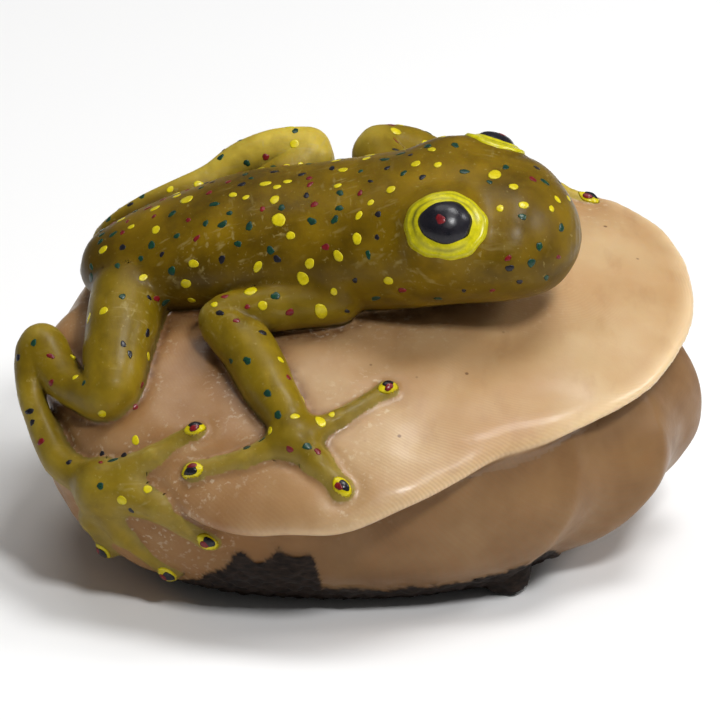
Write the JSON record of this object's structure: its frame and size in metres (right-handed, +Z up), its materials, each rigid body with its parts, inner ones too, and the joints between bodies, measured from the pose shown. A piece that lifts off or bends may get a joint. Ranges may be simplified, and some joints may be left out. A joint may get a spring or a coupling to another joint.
{
  "type": "carved nut frog figurine",
  "caption": "Tree frog crouching on a flared, tilted nut, all carved from one palm nut, with domed eyes, painted toe tips and dark seed coat left underneath",
  "frame": {"origin": "on the flat underside that the nut rests on, at the middle of the carving's width", "axes": "+Z up, +X the way the frog looks and the carving's longest extent, +Y away from the low edge of the sloping top"},
  "size_m": [0.0586, 0.046, 0.0359],
  "materials": {
    "nut": "polished and waxed, slightly translucent",
    "seed_coat": "rough, dark",
    "green_dye": "stained and varnished",
    "yellow_paint": "glossy enamel over the carved nut",
    "black_paint": "glossy enamel over the carved nut",
    "red_paint": "glossy enamel dots over the carved nut",
    "green_paint": "glossy enamel dots over the carved nut"
  },
  "bodies": {
    "root": {"nut_body": "nut", "nut_cap": "nut", "seed_coat": "seed_coat", "torso": "green_dye", "right_foreleg": "green_dye", "left_foreleg": "green_dye", "right_hind_leg": "green_dye", "left_hind_leg": "green_dye", "right_eye": "yellow_paint", "left_eye": "yellow_paint", "right_pupil": "black_paint", "left_pupil": "black_paint", "right_fore_toe_tips": "yellow_paint", "left_fore_toe_tips": "yellow_paint", "right_hind_toe_tips": "yellow_paint", "left_hind_toe_tips": "yellow_paint"}
  },
  "joints": []
}
